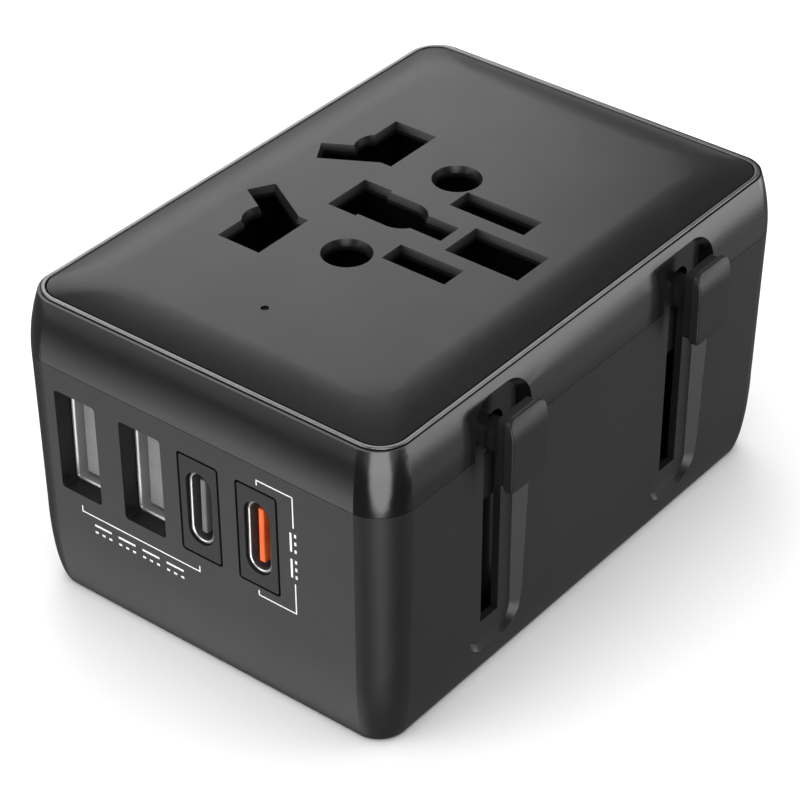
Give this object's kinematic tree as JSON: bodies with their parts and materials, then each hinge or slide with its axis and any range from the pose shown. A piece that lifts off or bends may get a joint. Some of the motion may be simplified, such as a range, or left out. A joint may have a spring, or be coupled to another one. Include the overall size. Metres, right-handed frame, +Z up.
{
  "type": "universal travel adapter",
  "caption": "Block-shaped travel adapter with a pillowed socket face, USB ports in the front wall and sliders that push plug pins out of the bottom.",
  "frame": {"origin": "centre of the bottom face", "axes": "+Z up out of the socket face, -Y out of the USB face, +X out of the face with two sliders"},
  "size_m": [0.0562, 0.0712, 0.0384],
  "materials": {
    "satin_black": "satin, fine moulded texture",
    "gloss_black": "polished",
    "matte_black": "fine spark texture",
    "trim_grey": "polished",
    "inner_black": "matt",
    "nickel": "nickel plated",
    "steel": "plain",
    "brass": "stamped strip",
    "gold": "plated contacts",
    "tongue_white": "moulded",
    "tongue_grey": "moulded",
    "tongue_orange": "moulded",
    "circuit_board": "solder mask",
    "chip_black": "moulded",
    "ferrite": "sintered",
    "led": "clear epoxy",
    "clear": "clear acrylic",
    "tape_yellow": "polyester tape",
    "capacitor_sleeve": "shrink sleeve",
    "capacitor_yellow": "moulded box",
    "ceramic": "glazed tube with plated caps"
  },
  "bodies": {
    "housing": {"cover_plate": "satin_black", "trim_ring": "trim_grey", "upper_housing": "gloss_black", "lower_housing": "matte_black", "case_screws": "steel", "socket_block": "inner_black", "line_contact": "brass", "neutral_contact": "brass", "earth_contact": "brass", "usb_a_shell_1": "nickel", "usb_a_shell_2": "nickel", "usb_a_tongue_1": "tongue_white", "usb_a_tongue_2": "tongue_white", "usb_a_contacts_1": "gold", "usb_a_contacts_2": "gold", "usb_c_insert_1": "matte_black", "usb_c_insert_2": "matte_black", "usb_c_shell_1": "nickel", "usb_c_shell_2": "nickel", "usb_c_tongue_1": "tongue_grey", "usb_c_tongue_2": "tongue_orange", "usb_board": "circuit_board", "usb_chips": "chip_black", "usb_coil": "ferrite", "status_led": "led", "light_pipe": "clear", "power_board": "circuit_board", "transformer": "tape_yellow", "bulk_capacitor": "capacitor_sleeve", "safety_capacitor": "capacitor_yellow", "mains_fuse": "ceramic", "fuse_clips": "brass"},
    "us_slider": {"us_carriage": "inner_black", "us_button_spring": "steel"},
    "us_button": {"us_button": "matte_black"},
    "us_blade_left": {"us_swivel_left": "inner_black", "us_blade_left": "nickel"},
    "us_blade_right": {"us_swivel_right": "inner_black", "us_blade_right": "nickel"},
    "uk_slider": {"uk_carriage": "inner_black", "uk_pin_left": "nickel", "uk_pin_right": "nickel", "uk_earth_pin": "matte_black", "uk_button_spring": "steel"},
    "uk_button": {"uk_button": "matte_black"},
    "eu_slider": {"eu_carriage": "inner_black", "eu_pin_left": "nickel", "eu_pin_right": "nickel", "eu_button_spring": "steel"},
    "eu_button": {"eu_button": "matte_black"}
  },
  "joints": [
    {"name": "us_slide", "type": "slide", "parent": "housing", "child": "us_slider", "axis": [0, 0, -1], "range_m": [0, 0.019]},
    {"name": "us_button_press", "type": "slide", "parent": "us_slider", "child": "us_button", "axis": [-1, 0, 0], "range_m": [0, 0.0008], "stiffness_N_per_m": 400, "springref_m": -0.0015, "deforming": ["us_button_spring"]},
    {"name": "uk_slide", "type": "slide", "parent": "housing", "child": "uk_slider", "axis": [0, 0, -1], "range_m": [0, 0.019]},
    {"name": "uk_button_press", "type": "slide", "parent": "uk_slider", "child": "uk_button", "axis": [-1, 0, 0], "range_m": [0, 0.0008], "stiffness_N_per_m": 400, "springref_m": -0.0015, "deforming": ["uk_button_spring"]},
    {"name": "eu_slide", "type": "slide", "parent": "housing", "child": "eu_slider", "axis": [0, 0, -1], "range_m": [0, 0.019]},
    {"name": "eu_button_press", "type": "slide", "parent": "eu_slider", "child": "eu_button", "axis": [1, 0, 0], "range_m": [0, 0.0008], "stiffness_N_per_m": 400, "springref_m": -0.0015, "deforming": ["eu_button_spring"]},
    {"name": "us_blade_left_twist", "type": "hinge", "parent": "us_slider", "child": "us_blade_left", "pos_m": [-0.00635, -0.01665, 0.0232], "axis": [0, 0, 1], "range_deg": [0, 30]},
    {"name": "us_blade_right_twist", "type": "hinge", "parent": "us_slider", "child": "us_blade_right", "pos_m": [0.00635, -0.01665, 0.0232], "axis": [0, 0, 1], "range_deg": [-30, 0]}
  ]
}
